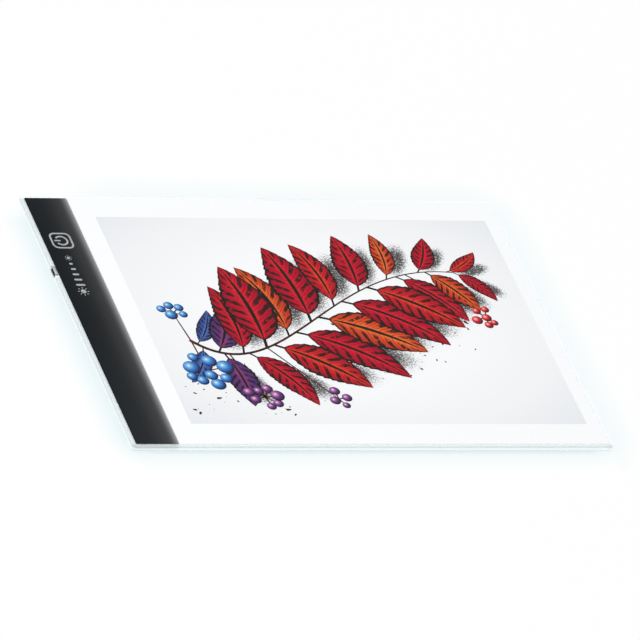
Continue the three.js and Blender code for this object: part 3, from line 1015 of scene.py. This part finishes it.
def keep_outline(piece):
    """Takes the middle out of a flat piece of one face, and leaves a line all round."""
    choose(piece, "FACE", lambda middle: True)
    bpy.ops.mesh.inset(thickness=KEY_LINE)
    bpy.ops.mesh.delete(type="FACE")
    finish_editing()


def key_frame():
    """The rounded square: a plane with rounded corners, of which only the outline is kept."""
    piece = start("key_frame", bpy.ops.mesh.primitive_plane_add, size=KEY_FRAME, location=KEY_PLACE)
    round_corners(piece, KEY_CORNER, 8)
    keep_outline(piece)
    thicken(piece, PRINT_THICKNESS)
    return piece


def key_ring():
    """The ring, open toward the left, where the bar comes in."""
    piece = start(
        "key_ring", bpy.ops.mesh.primitive_circle_add,
        vertices=60, radius=KEY_RING, fill_type="NGON", location=KEY_PLACE,
    )
    keep_outline(piece)

    def in_gap(middle):
        return abs(math.atan2(middle.y - KEY_PLACE.y, KEY_PLACE.x - middle.x)) < KEY_GAP

    choose(piece, "FACE", in_gap)
    bpy.ops.mesh.delete(type="FACE")
    finish_editing()
    thicken(piece, PRINT_THICKNESS)
    return piece


def rounded_bar(name, place, length, width):
    """A flat bar with round ends, along X."""
    scale = (length, width, 1)
    piece = start(name, bpy.ops.mesh.primitive_plane_add, scale, size=1, location=place)
    # A little less than half the width, so that two corners never meet.
    round_corners(piece, width * 0.49, 5)
    thicken(piece, PRINT_THICKNESS)
    return piece


bar_place = KEY_PLACE - Vector((KEY_BAR * KEY_BAR_SHIFT, 0, 0))
marks = [rounded_bar("key_bar", bar_place, KEY_BAR, KEY_LINE), key_frame(), key_ring()]
print("touch key's mark", KEY_FRAME / MM, "mm wide")

# %% The scale of brightness
SCALE_X = -164.4 * MM
SCALE_START = 56.5 * MM
SCALE_PITCH = 5.4 * MM
SCALE_LENGTHS = [2.6, 3.7, 4.8, 5.9, 7.0]
SCALE_WIDTH = 1.8 * MM
SMALL_SUN = 2.6 * MM
LARGE_SUN = 4.2 * MM
SMALL_SUN_Y = SCALE_START + SCALE_PITCH * 1.1
LARGE_SUN_Y = SCALE_START - len(SCALE_LENGTHS) * SCALE_PITCH - 1.2 * MM
# A sun's disc, the middle of a ray, and a ray's length and width, in shares of its radius.
SUN_RAYS = 8
SUN_DISC = 0.46
SUN_RAY_AT = 0.84
SUN_RAY_LENGTH = 0.34
SUN_RAY_WIDTH = 0.15


def on_strip(y):
    return Vector((SCALE_X, y, strip_high.z))


def sun(name, place, radius):
    """A disc with eight rays round it: one ray, and seven turned copies."""
    disc = start(
        name, bpy.ops.mesh.primitive_circle_add,
        vertices=32, radius=radius * SUN_DISC, fill_type="NGON", location=place,
    )
    thicken(disc, PRINT_THICKNESS)
    ray_place = place + Vector((radius * SUN_RAY_AT, 0, 0))
    ray = rounded_bar("ray", ray_place, radius * SUN_RAY_LENGTH, radius * SUN_RAY_WIDTH)
    rays = [ray] + [copy_of(ray, f"ray_{index}") for index in range(1, SUN_RAYS)]
    for index, piece in enumerate(rays):
        turn = Matrix.Rotation(index * 2 * math.pi / SUN_RAYS, 4, "Z")
        piece.data.transform(Matrix.Translation(place) @ turn @ Matrix.Translation(-place))
    return join([disc] + rays, name)


marks.append(sun("small_sun", on_strip(SMALL_SUN_Y), SMALL_SUN))
for index, length in enumerate(SCALE_LENGTHS):
    bar_place = on_strip(SCALE_START - index * SCALE_PITCH)
    marks.append(rounded_bar(f"scale_bar_{index + 1}", bar_place, length * MM, SCALE_WIDTH))
marks.append(sun("large_sun", on_strip(LARGE_SUN_Y), LARGE_SUN))
strip_print = mottled(
    "strip_print", (146, 149, 152), (182, 185, 188), (700, 4, 0.6), (0.35, 0.6),
    (0.01 * MM, 0.2), at=(0.3, 0.62), Specular_IOR_Level=0.2,
)
for mark in marks:
    dress(mark, strip_print, "pad")
print(len(marks), "printed marks")

# %% [markdown]
# ## Inks of the drawing
# The leaves are crimson, orange and violet with brown-black ink. All of it could be one finish
# on the paper, but a leaf's veins follow the leaf, and that is easy only where each leaf has
# its own UV map: U runs from its foot to its tip and V across it. Side veins are then stripes
# of U that lean with V, and the outline is simply V near its two ends.

# %% Inks of the leaves
BLACK_INK = (26, 18, 14)
INK_GLOSS = 0.1
STALK_SHARE = 0.1
VEIN_COUNT = 9.0
VEIN_LEAN = 1.5
VEIN_WANDER = 0.5
# Each leaf colour: a bright heart, the flesh, the darker rim, and a shift of its pattern.
LEAF_TONES = {
    "crimson": ((226, 48, 52), (200, 10, 44), (140, 6, 34), 0.31),
    "scarlet": ((238, 92, 50), (212, 30, 38), (152, 14, 34), 0.57),
    "orange": ((244, 140, 66), (224, 82, 36), (172, 38, 28), 0.83),
    "violet": ((166, 74, 128), (104, 50, 112), (58, 46, 110), 0.19),
    "indigo": ((110, 150, 206), (62, 96, 172), (52, 48, 116), 0.47),
}


def leaf_ink(name, heart, flesh, rim, shift):
    """Coloured ink with a bright heart, darker edges, side veins and dark bands between them."""
    finish = Finish(name, flesh, 0.6, Specular_IOR_Level=INK_GLOSS)
    u, v, _ = finish.xyz(finish.coordinates["UV"])
    # 0 on the midrib and 1 at the outline.
    side = 2 * abs(v - 0.5)
    drift = finish.noise(90, 3, 0.6, finish.place((shift, shift, 0)))
    blot = finish.noise(230, 4, 0.65, finish.place((shift, -shift, 0)))
    flow = VEIN_COUNT * u - VEIN_LEAN * side + VEIN_WANDER * drift
    # 0 midway between two side veins and 0.5 on a vein.
    ridge = abs(finish.math("FRACT", flow) - 0.5)
    body = finish.ramp(0.75 * side + 0.5 * drift, (0.12, heart), (0.5, flesh), (1.0, rim))
    band = 0.95 * ridge.between(0.3, 0.16) * blot.between(0.34, 0.5) * side.between(0.08, 0.4)
    vein = ridge.between(0.44, 0.48) * side.between(0.98, 0.8)
    midrib = side.between(0.11, 0.06)
    edge = (side + 0.14 * blot).between(0.9, 0.97)
    stalk = u.between(STALK_SHARE + 0.03, STALK_SHARE)
    drawn = finish.mix(vein, body, rim)
    for mask in (band, midrib, edge, stalk):
        drawn = finish.mix(mask, drawn, BLACK_INK)
    finish.color(drawn)
    finish.bump(blot, 0.01 * MM, 0.2)
    finish.roughen(blot, 0.5, 0.7)
    return finish


leaf_inks = {color: leaf_ink(f"leaf_{color}", *tones) for color, tones in LEAF_TONES.items()}
print(len(leaf_inks), "leaf inks")

# %% Inks of the berries and lines
BERRY_HIGHLIGHT = (243, 246, 249)
# The highlight's place on the berry's UV map: its upper left.
BERRY_LIT_AT = (0.36, 0.64, 0)
# Each berry colour: where it is lit, its body, and its dark side.
BERRY_TONES = {
    "blue": ((140, 200, 236), (52, 128, 200), (26, 48, 112)),
    "purple": ((206, 140, 190), (116, 58, 126), (48, 22, 66)),
    "red": ((250, 140, 120), (208, 20, 48), (96, 6, 26)),
}


def berry_ink(name, lit, body, dark):
    """A berry drawn round: a bright spot at the upper left, dark round its lower right edge."""
    finish = Finish(name, body, 0.5, Specular_IOR_Level=INK_GLOSS)
    away = finish.vector("DISTANCE", finish.coordinates["UV"], BERRY_LIT_AT)
    grain = finish.noise(700, 3, 0.6)
    finish.color(finish.ramp(
        away + 0.1 * grain,
        (0.08, BERRY_HIGHLIGHT), (0.14, lit), (0.36, body), (0.6, dark), (0.72, BLACK_INK),
    ))
    finish.roughen(grain, 0.4, 0.6)
    return finish


berry_inks = {color: berry_ink(f"berry_{color}", *tones) for color, tones in BERRY_TONES.items()}
# Brown-black ink, a little lighter where the brush ran dry.
line_ink = mottled(
    "ink_brown", (26, 18, 14), (104, 44, 32), (300, 3, 0.6), (0.5, 0.7),
    at=(0.4, 0.7), Specular_IOR_Level=INK_GLOSS,
)
print(len(berry_inks), "berry inks")

# %% [markdown]
# ## Shapes of the drawing
# A leaf starts as a grid that is narrowed column by column to a stalk and a toothed blade, and
# is then bent to one side. Four shapes serve all the leaves in turn. Each copy is laid on the
# stem, and it reaches down to the paper, so that no ink floats over it.

# %% One leaf of each shape
LEAF_COLUMNS = 50
LEAF_ROWS = 8
UNIT_THICKNESS = 0.001
TOOTH_DEPTH = 0.1
ROUNDNESS = 0.85
# A leaf's breadth at its stalk and at its tip, as parts of its greatest width.
STALK_BREADTH = 0.06
TIP_BREADTH = 0.01
# Each shape: name, greatest width, fullness, teeth a side, bend in degrees.
LEAF_SHAPES = [
    ("leaf_slim_left", 0.36, 0.85, 15, 38),
    ("leaf_slim_right", 0.37, 0.8, 14, -34),
    ("leaf_broad_left", 0.46, 0.78, 13, 26),
    ("leaf_broad_right", 0.44, 0.82, 12, -24),
]


def leaf_width(share, fullness, teeth):
    """A leaf's width at a share of its length, as a part of its greatest width."""
    blade = (share - STALK_SHARE) / (1 - STALK_SHARE)
    if blade <= 0:
        return STALK_BREADTH
    outline = math.sin(math.pi * blade ** fullness) ** ROUNDNESS
    tooth = 1 - TOOTH_DEPTH * ((blade * teeth) % 1)
    return max(outline * tooth, STALK_BREADTH + (TIP_BREADTH - STALK_BREADTH) * blade)


def leaf_shape(name, greatest, fullness, teeth, bend):
    """A leaf one metre long on +X, from a grid narrowed column by column and bent to one side."""
    piece = start(
        name, bpy.ops.mesh.primitive_grid_add,
        x_subdivisions=LEAF_COLUMNS, y_subdivisions=LEAF_ROWS, size=1, location=(0.5, 0, 0),
    )
    step = 1 / LEAF_COLUMNS
    for column in range(LEAF_COLUMNS + 1):
        share = column * step
        choose(piece, "VERT", lambda point: abs(point.x - share) < step / 3)
        width = greatest * leaf_width(share, fullness, teeth)
        bpy.ops.transform.resize(value=(1, width, 1), center_override=(share, 0, 0))
        finish_editing()
    curve = piece.modifiers.new("bend", "SIMPLE_DEFORM")
    curve.deform_method = "BEND"
    curve.deform_axis = "Z"
    curve.angle = math.radians(bend)
    select_only(piece)
    bpy.ops.object.modifier_apply(modifier=curve.name)
    thicken(piece, UNIT_THICKNESS)
    return piece


leaf_shapes = [leaf_shape(*shape) for shape in LEAF_SHAPES]
print([len(shape.data.polygons) for shape in leaf_shapes], "faces a leaf")

# %% Lay the leaves
LAYER = 0.012 * MM
# Stalks lie lowest. The leaves of one side overlap their neighbours, so each pair of leaves
# lies a layer higher than the last, in turns of four.
STALK_LAYER = 0
LEAF_LAYERS = 4


def place_copy(shape, point, turn, length, width, layer):
    """A copy of a unit shape, from the paper up to its layer. Lengths are in millimetres."""
    placed_copy = copy_of(shape, shape.name)
    thickness = (layer + 1) * LAYER / UNIT_THICKNESS
    placed_copy.data.transform(
        Matrix.Translation(on_sheet(point))
        @ Matrix.Rotation(turn, 4, "Z")
        @ Matrix.Diagonal((length * MM, width * MM, thickness, 1))
    )
    return placed_copy


laid = {}
for index, (foot, turn, length) in enumerate(lines):
    shape = leaf_shapes[index % len(leaf_shapes)]
    layer = STALK_LAYER + 1 + (index // 2) % LEAF_LAYERS
    laid_leaf = place_copy(shape, foot, turn, length, length, layer)
    laid.setdefault(LEAVES[index][0], []).append(laid_leaf)
for color, leaves in laid.items():
    dress(join(leaves, f"leaves_{color}"), leaf_inks[color], "sheet")
clear_away(*leaf_shapes)
print(len(LEAVES), "leaves in", len(laid), "colours")

# %% [markdown]
# ## Stem
# The stem is one brush stroke that grows thin toward the tip. A curve with a bevel would do it,
# but the stroke has to stay flat on the paper, so it is a small plane drawn out step by step:
# its leading edge is extruded along the curve, turned with it and narrowed, forty times.

# %% Stem
STEM_STEPS = 40
STEM_WIDTH = 2.6 * MM
STEM_TIP_SHARE = 0.3
STEM_LAYER = STALK_LAYER + LEAF_LAYERS + 1


def draw_stem():
    here, facing = on_stem(0)
    middle = on_sheet(here)
    piece = start(
        "stem", bpy.ops.mesh.primitive_plane_add,
        size=STEM_WIDTH, location=middle, rotation=(0, 0, facing),
    )
    ahead = heading(facing).to_3d()
    choose(piece, "VERT", lambda point: (point - middle).dot(ahead) > 0)
    narrow = STEM_TIP_SHARE ** (1 / STEM_STEPS)
    for step in range(1, STEM_STEPS + 1):
        there, turned = on_stem(step / STEM_STEPS)
        move = ((there - here) * MM).to_3d()
        center = on_sheet(there)
        bpy.ops.mesh.extrude_region_move(TRANSFORM_OT_translate={"value": move})
        # With no window, the operator turns clockwise for a positive value.
        bpy.ops.transform.rotate(value=facing - turned, orient_axis="Z", center_override=center)
        bpy.ops.transform.resize(value=(narrow, narrow, 1), center_override=center)
        here, facing = there, turned
    finish_editing()
    thicken(piece, (STEM_LAYER + 1) * LAYER)
    return piece


stem = draw_stem()
dress(stem, line_ink, "sheet")
print("stem", len(stem.data.polygons), "faces")

# %% [markdown]
# ## Berries on stalks
# Berries grow in loose clusters on thin stalks. Placed one by one they would look set out, so
# each is tried at a random place in its cluster's circle and kept where it hardly touches the
# others. The seed is fixed, and so the spray comes out the same each time.

# %% A berry and a stalk
STALK_FLARE = 1.8


def unit_disc(name, sides):
    """A round spot one metre in radius, to be copied at the size of each berry or speck."""
    piece = start(
        name, bpy.ops.mesh.primitive_circle_add, vertices=sides, radius=1, fill_type="TRIFAN",
    )
    thicken(piece, UNIT_THICKNESS)
    return piece


def unit_stalk():
    """A line one metre long on +X, wider where it leaves the stem."""
    piece = start("stalk", bpy.ops.mesh.primitive_plane_add, size=1, location=(0.5, 0, 0))
    choose(piece, "VERT", lambda point: point.x < 0.5)
    bpy.ops.transform.resize(value=(1, STALK_FLARE, 1), center_override=(0, 0, 0))
    finish_editing()
    thicken(piece, UNIT_THICKNESS)
    return piece


berry_shape = unit_disc("berry", 24)
stalk_shape = unit_stalk()
print("a berry has", len(berry_shape.data.polygons), "faces")

# %% Clusters of berries
# Each cluster: share along the stem, middle in millimetres, spread, colour, count, least and
# most radius.
CLUSTERS = [
    (0.0, (-118, -52), 15, "blue", 9, 4.0, 6.6),
    (0.14, (-84, -78), 12, "purple", 7, 3.2, 5.4),
    (0.0, (-124, 6), 9, "blue", 5, 3.0, 4.8),
    (0.86, (112, 4), 10, "red", 6, 2.8, 4.6),
    (0.3, (-30, -80), 8, "purple", 4, 2.6, 4.0),
]
STALK_WIDTH = 0.7
# Two berries lie at least this share of their radii's sum apart.
BERRY_ROOM = 0.88
BERRY_LAYERS = 3
chance = random.Random(11)


def stalk(shape, begin, end):
    """A straight line of ink from one point to another."""
    along = end - begin
    turn = math.atan2(along.y, along.x)
    return place_copy(shape, begin, turn, along.length, STALK_WIDTH, STALK_LAYER)


def berry_places(middle, spread, count, least, most):
    """Places and sizes that barely touch each other, inside a circle."""
    placed = []
    while len(placed) < count:
        away = heading(chance.uniform(0, 2 * math.pi)) * spread
        point = middle + away * math.sqrt(chance.random())
        radius = chance.uniform(least, most)
        if all((point - other).length > (radius + size) * BERRY_ROOM for other, size in placed):
            placed.append((point, radius))
    return placed


stalks = []
for number, (share, middle, spread, color, count, least, most) in enumerate(CLUSTERS):
    middle = Vector(middle)
    stalks.append(stalk(stalk_shape, on_stem(share)[0], middle))
    berries = []
    for index, (point, radius) in enumerate(berry_places(middle, spread, count, least, most)):
        stalks.append(stalk(stalk_shape, middle, point))
        layer = STEM_LAYER + 1 + index % BERRY_LAYERS
        berries.append(place_copy(berry_shape, point, 0, radius, radius, layer))
    dress(join(berries, f"berries_{color}_{number + 1}"), berry_inks[color], "sheet")
dress(join(stalks, "berry_stalks"), line_ink, "sheet")
clear_away(berry_shape, stalk_shape)
print(len(CLUSTERS), "clusters")

# %% [markdown]
# ## Specks of ink
# A loaded brush leaves specks. They lie mostly below the stem, small ones far more often than
# large ones. Each is a copy of one drop: a spot with ten sides, drawn out to a point.

# %% Specks of ink
SPECK_COUNT = 150
SPECK_MARGIN = 5
# How far below the stem the specks lie, and how far they spread about that, in millimetres.
SPECK_DROP = 46
SPECK_SPREAD = 18
SPECK_LEAST = 0.25
SPECK_GROWTH = 0.9


def unit_speck():
    """A drop: a round spot with one side drawn out to a point."""
    piece = unit_disc("speck", 10)
    choose(piece, "VERT", lambda point: point.x > 0.9)
    bpy.ops.transform.translate(value=(0.8, 0, 0))
    finish_editing()
    return piece


speck_shape = unit_speck()
specks = []
while len(specks) < SPECK_COUNT:
    foot, along = on_stem(chance.random())
    point = foot + heading(along - math.pi / 2) * chance.gauss(SPECK_DROP, SPECK_SPREAD)
    radius = SPECK_LEAST + SPECK_GROWTH * chance.random() ** 3
    room_x = sheet_half.x / MM - SPECK_MARGIN - abs(point.x)
    room_y = sheet_half.y / MM - SPECK_MARGIN - abs(point.y)
    if min(room_x, room_y) > 0:
        length = radius * chance.uniform(1, 1.5)
        turn = chance.uniform(0, 2 * math.pi)
        specks.append(place_copy(speck_shape, point, turn, length, radius, 0))
dress(join(specks, "ink_specks"), line_ink, "sheet")
clear_away(speck_shape)
print(SPECK_COUNT, "specks")

# %% [markdown]
# ## Floor
# The floor is white, with a faint cyan veil near the pad where its edges shine on it. The veil
# is in the floor's colour, as ramps on the distance from the pad's outline: narrow and stronger
# in front and at the left, wide and faint behind and at the right, and gone at the strip's rear
# end. The camera sees mostly that colour as it is written, and the rest is real shading, so the
# pad keeps its soft shadow. Light that the pad sends down meets the same white again, as it
# would in a bright room, and from below the floor can be looked through, so that the back can
# be inspected too.

# %% Veil on the floor
VEIL_REACH = 30 * MM
VEIL_ROUNDING = 20 * MM
# The veil at shares of its reach, first in front and at the left, and then behind.
VEIL_NARROW = [
    (0.0, (239, 247, 249)), (0.1, (240, 249, 250)), (0.17, (242, 250, 252)),
    (0.27, (245, 252, 253)), (0.37, (249, 253, 254)), (0.5, (253, 255, 255)),
    (0.67, WHITE),
]
VEIL_WIDE = [
    (0.0, (247, 251, 253)), (0.27, (247, 251, 253)), (0.37, (248, 252, 253)),
    (0.5, (249, 253, 254)), (0.67, (252, 254, 254)), (0.87, (254, 255, 255)),
    (1.0, WHITE),
]
VEIL_FRONT_SHARE = 0.7
PAINTED_CONTACT_SHADOW = (233, 242, 243)


def veiled_white(finish):
    """The floor's colour at each distance from the pad, on each side of it."""
    x, y, _ = finish.xyz()
    core = (plate_high.x - VEIL_ROUNDING, plate_high.y - VEIL_ROUNDING, 0)
    past = finish.vector("SUBTRACT", finish.vector("ABSOLUTE", finish.object), core)
    away = finish.vector("LENGTH", finish.vector("MAXIMUM", past, (0, 0, 0))) - VEIL_ROUNDING
    share = away / VEIL_REACH
    left = x.between(plate_low.x + 40 * MM, plate_low.x)
    left = left * y.between(plate_high.y - 5 * MM, plate_high.y - 25 * MM)
    front = y.between(plate_low.y + 40 * MM, plate_low.y)
    strong = larger(left, VEIL_FRONT_SHARE * front)
    near = finish.mix(strong, WHITE, finish.ramp(share, *VEIL_NARROW))
    # A painted contact shadow: a darker line on the floor just in front of the pad.
    near = finish.mix(away.between(2.5 * MM, -MM) * front, near, PAINTED_CONTACT_SHADOW)
    faint = x.between(plate_low.x + 30 * MM, plate_low.x + 80 * MM)
    far = finish.mix(faint, WHITE, finish.ramp(share, *VEIL_WIDE))
    rear = y.between(plate_high.y - MM, plate_high.y)
    behind = larger(rear, x.between(plate_high.x - MM, plate_high.x))
    return finish.mix(behind, near, far)


print("veil reaches", VEIL_REACH / MM, "mm")

# %% Floor
FLOOR_SIZE = 12.0
# The share of real shading in the floor, and its brightness for the light that it throws back.
FLOOR_SHADING = 0.15
FLOOR_BOUNCE = 0.85


def white_floor():
    finish = Finish("floor_white", WHITE, 0.9, Specular_IOR_Level=0.0)
    color = veiled_white(finish)
    finish.color(color)
    strength = FLOOR_BOUNCE + (1 - FLOOR_BOUNCE) * finish.seen()
    shown = finish.node("Emission", Color=color, Strength=strength).outputs[0]
    mixed = finish.mix_shaders(1 - FLOOR_SHADING, finish.shader.outputs[0], shown)
    below = finish.node("NewGeometry").outputs["Backfacing"]
    clear = finish.node("BsdfTransparent").outputs[0]
    out = finish.tree.nodes["Material Output"]
    finish.feed(out.inputs["Surface"], finish.mix_shaders(below, mixed, clear))
    return finish


floor = start("floor", bpy.ops.mesh.primitive_plane_add, size=FLOOR_SIZE)
floor.data.materials.append(white_floor().material)
print("floor", FLOOR_SIZE, "m wide")

# %% [markdown]
# ## The end
# Dressing the pad mustn't change its size, apart from the print's thickness.
